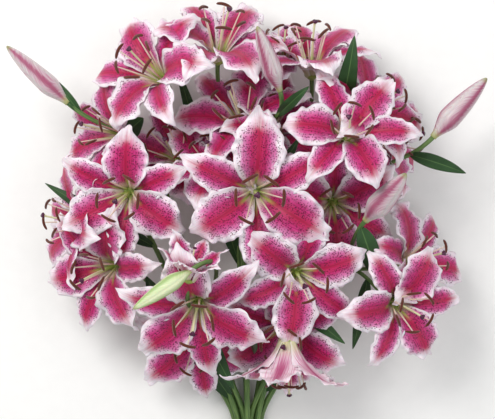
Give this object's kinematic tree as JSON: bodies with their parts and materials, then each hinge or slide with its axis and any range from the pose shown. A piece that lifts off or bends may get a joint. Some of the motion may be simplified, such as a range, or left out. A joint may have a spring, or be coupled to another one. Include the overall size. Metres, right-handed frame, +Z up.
{
  "type": "lily bouquet",
  "caption": "Hand-tied bouquet of open pink and white spotted lilies with buds and leaves, lying flat with its cut stems spread below the tie.",
  "frame": {"origin": "middle of the bouquet's footprint, at the height of the surface it lies on", "axes": "+Z up from the surface through the open flowers, +Y from the cut stem ends towards the top flower, +X to the right of the flowers seen from above"},
  "size_m": [0.6036, 0.692, 0.2284],
  "materials": {
    "petal": "soft satin petals, crimson along the middle, white at the ruffled margin, dark pink raised spots",
    "bud": "satin, pale pink with crimson ribs and green tip",
    "green_bud": "satin, pale green with paler ribs",
    "leaf": "satin dark green with parallel veins",
    "stem": "satin green",
    "raffia": "matte dry fibre, wound round the stems"
  },
  "bodies": {
    "root": {"bud_green": "green_bud", "bud_inner_right": "bud", "bud_left": "bud", "bud_right": "bud", "bud_top": "bud", "flower_bottom": "petal", "flower_bottom_left": "petal", "flower_centre": "petal", "flower_far_left": "petal", "flower_far_right": "petal", "flower_half_open": "petal", "flower_inner_left": "petal", "flower_inner_right": "petal", "flower_left": "petal", "flower_left_back": "petal", "flower_left_edge": "petal", "flower_lower_centre": "petal", "flower_lower_left": "petal", "flower_lower_middle": "petal", "flower_lower_right": "petal", "flower_middle_left": "petal", "flower_middle_top": "petal", "flower_right": "petal", "flower_right_back": "petal", "flower_right_edge": "petal", "flower_top": "petal", "flower_top_back": "petal", "flower_top_right": "petal", "flower_upper_centre": "petal", "flower_upper_left": "petal", "leaf_back_left": "leaf", "leaf_back_right": "leaf", "leaf_bottom_left": "leaf", "leaf_bud_left": "leaf", "leaf_bud_right": "leaf", "leaf_far_left": "leaf", "leaf_inner_right": "leaf", "leaf_inner_top": "leaf", "leaf_low_left": "leaf", "leaf_low_right": "leaf", "leaf_lower_centre": "leaf", "leaf_lower_middle": "leaf", "leaf_lower_right": "leaf", "leaf_middle_left": "leaf", "leaf_right": "leaf", "leaf_top": "leaf", "leaf_top_right": "leaf", "leaf_upper_left": "leaf", "stem_centre": "stem", "stem_far_left": "stem", "stem_far_right": "stem", "stem_left": "stem", "stem_lower_left": "stem", "stem_lower_right": "stem", "stem_right": "stem", "stem_top": "stem", "stem_top_right": "stem", "stem_upper_left": "stem", "tie": "raffia"}
  },
  "joints": []
}
